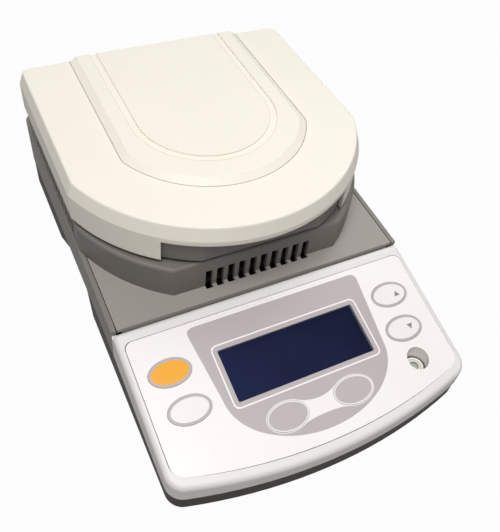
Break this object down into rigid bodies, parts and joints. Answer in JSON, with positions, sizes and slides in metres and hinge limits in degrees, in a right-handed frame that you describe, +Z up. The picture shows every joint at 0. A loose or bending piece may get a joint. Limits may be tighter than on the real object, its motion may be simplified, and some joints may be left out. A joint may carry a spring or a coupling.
{
  "type": "moisture balance",
  "caption": "Bench moisture balance: weighing pan in a vented oven under a hinged heating lid, with a sloping panel of oval keys and a display.",
  "frame": {"origin": "middle of the footprint, on the bench", "axes": "+X to the operator's right, -Y towards the operator (keys and display), +Z up"},
  "size_m": [0.205, 0.318, 0.1138],
  "materials": {
    "tray_dark": "fine texture",
    "frame_grey": "fine texture",
    "deck_grey": "fine texture",
    "ring_grey": "fine texture",
    "lid_cream": "satin",
    "panel_white": "satin",
    "overlay_white": "semi-gloss film",
    "key_orange": "semi-gloss",
    "key_white": "semi-gloss",
    "steel": "brushed",
    "aluminium": "satin",
    "clear_glass": "clear",
    "display_glass": "tinted, glossy",
    "display_dark": "dark liquid crystal",
    "level_fluid": "liquid",
    "ceramic": "unglazed ceramic",
    "black_plastic": "fine texture",
    "rocker_black": "gloss",
    "brass": "plain",
    "rubber": "matt",
    "board_green": "solder mask",
    "core_iron": "varnished laminations",
    "coil_tape": "insulating tape"
  },
  "bodies": {
    "housing": {"base_tray": "tray_dark", "side_frame": "frame_grey", "deck_cover": "deck_grey", "vent_ring": "ring_grey", "hinge_brackets": "ring_grey", "control_panel": "panel_white", "membrane_overlay": "overlay_white", "oven_liner": "steel", "draft_shield": "steel", "hinge_pins": "steel", "case_screws": "steel", "port_screws": "steel", "serial_port": "steel", "key_domes": "steel", "weighing_cell": "aluminium", "cell_foot": "aluminium", "cell_adapter": "aluminium", "heat_sink": "aluminium", "level_vial": "clear_glass", "display_lens": "display_glass", "display_module": "display_dark", "level_bubble": "level_fluid", "connector_plate": "black_plastic", "power_inlet": "black_plastic", "switch_housing": "black_plastic", "fuse_holder": "black_plastic", "inlet_pins": "brass", "front_feet": "rubber", "lid_buffers": "rubber", "key_board": "board_green", "main_board": "board_green", "heater_board": "board_green", "transformer_core": "core_iron", "transformer_coils": "coil_tape"},
    "lid": {"lid_shell": "lid_cream", "lid_housing": "ring_grey", "heat_window": "clear_glass", "lamp_reflector": "aluminium", "halogen_lamps": "clear_glass", "lamp_caps": "steel", "lamp_holders": "ceramic", "temperature_probe": "steel"},
    "pan": {"sample_pan": "aluminium", "pan_support": "steel"},
    "rocker": {"switch_rocker": "rocker_black"},
    "foot_left": {"levelling_wheel_left": "black_plastic", "levelling_pad_left": "rubber"},
    "foot_right": {"levelling_wheel_right": "black_plastic", "levelling_pad_right": "rubber"},
    "key_start": {"key_start": "key_orange"},
    "key_select": {"key_select": "key_white"},
    "key_up": {"key_up": "key_white"},
    "key_down": {"key_down": "key_white"},
    "key_back": {"key_back": "key_white"},
    "key_enter": {"key_enter": "key_white"}
  },
  "joints": [
    {"name": "lid_hinge", "type": "hinge", "parent": "housing", "child": "lid", "pos_m": [0, 0.1465, 0.086], "axis": [-1, 0, 0], "range_deg": [0, 85]},
    {"name": "pan_load", "type": "slide", "parent": "housing", "child": "pan", "axis": [0, 0, 1], "range_m": [-0.0003, 0], "stiffness_N_per_m": 6000},
    {"name": "rocker_tip", "type": "hinge", "parent": "housing", "child": "rocker", "pos_m": [-0.018, 0.152, 0.047], "axis": [1, 0, 0], "range_deg": [-16, 0]},
    {"name": "foot_left_turn", "type": "hinge", "parent": "housing", "child": "foot_left", "pos_m": [-0.084, 0.118, 0.005], "axis": [0, 0, 1], "continuous": true},
    {"name": "foot_right_turn", "type": "hinge", "parent": "housing", "child": "foot_right", "pos_m": [0.084, 0.118, 0.005], "axis": [0, 0, 1], "continuous": true},
    {"name": "key_start_press", "type": "slide", "parent": "housing", "child": "key_start", "axis": [0, 0.2311, -0.9729], "range_m": [0, 0.0004], "stiffness_N_per_m": 5000},
    {"name": "key_select_press", "type": "slide", "parent": "housing", "child": "key_select", "axis": [0, 0.2311, -0.9729], "range_m": [0, 0.0004], "stiffness_N_per_m": 5000},
    {"name": "key_up_press", "type": "slide", "parent": "housing", "child": "key_up", "axis": [0, 0.2311, -0.9729], "range_m": [0, 0.0004], "stiffness_N_per_m": 5000},
    {"name": "key_down_press", "type": "slide", "parent": "housing", "child": "key_down", "axis": [0, 0.2311, -0.9729], "range_m": [0, 0.0004], "stiffness_N_per_m": 5000},
    {"name": "key_back_press", "type": "slide", "parent": "housing", "child": "key_back", "axis": [0, 0.2311, -0.9729], "range_m": [0, 0.0004], "stiffness_N_per_m": 5000},
    {"name": "key_enter_press", "type": "slide", "parent": "housing", "child": "key_enter", "axis": [0, 0.2311, -0.9729], "range_m": [0, 0.0004], "stiffness_N_per_m": 5000}
  ]
}
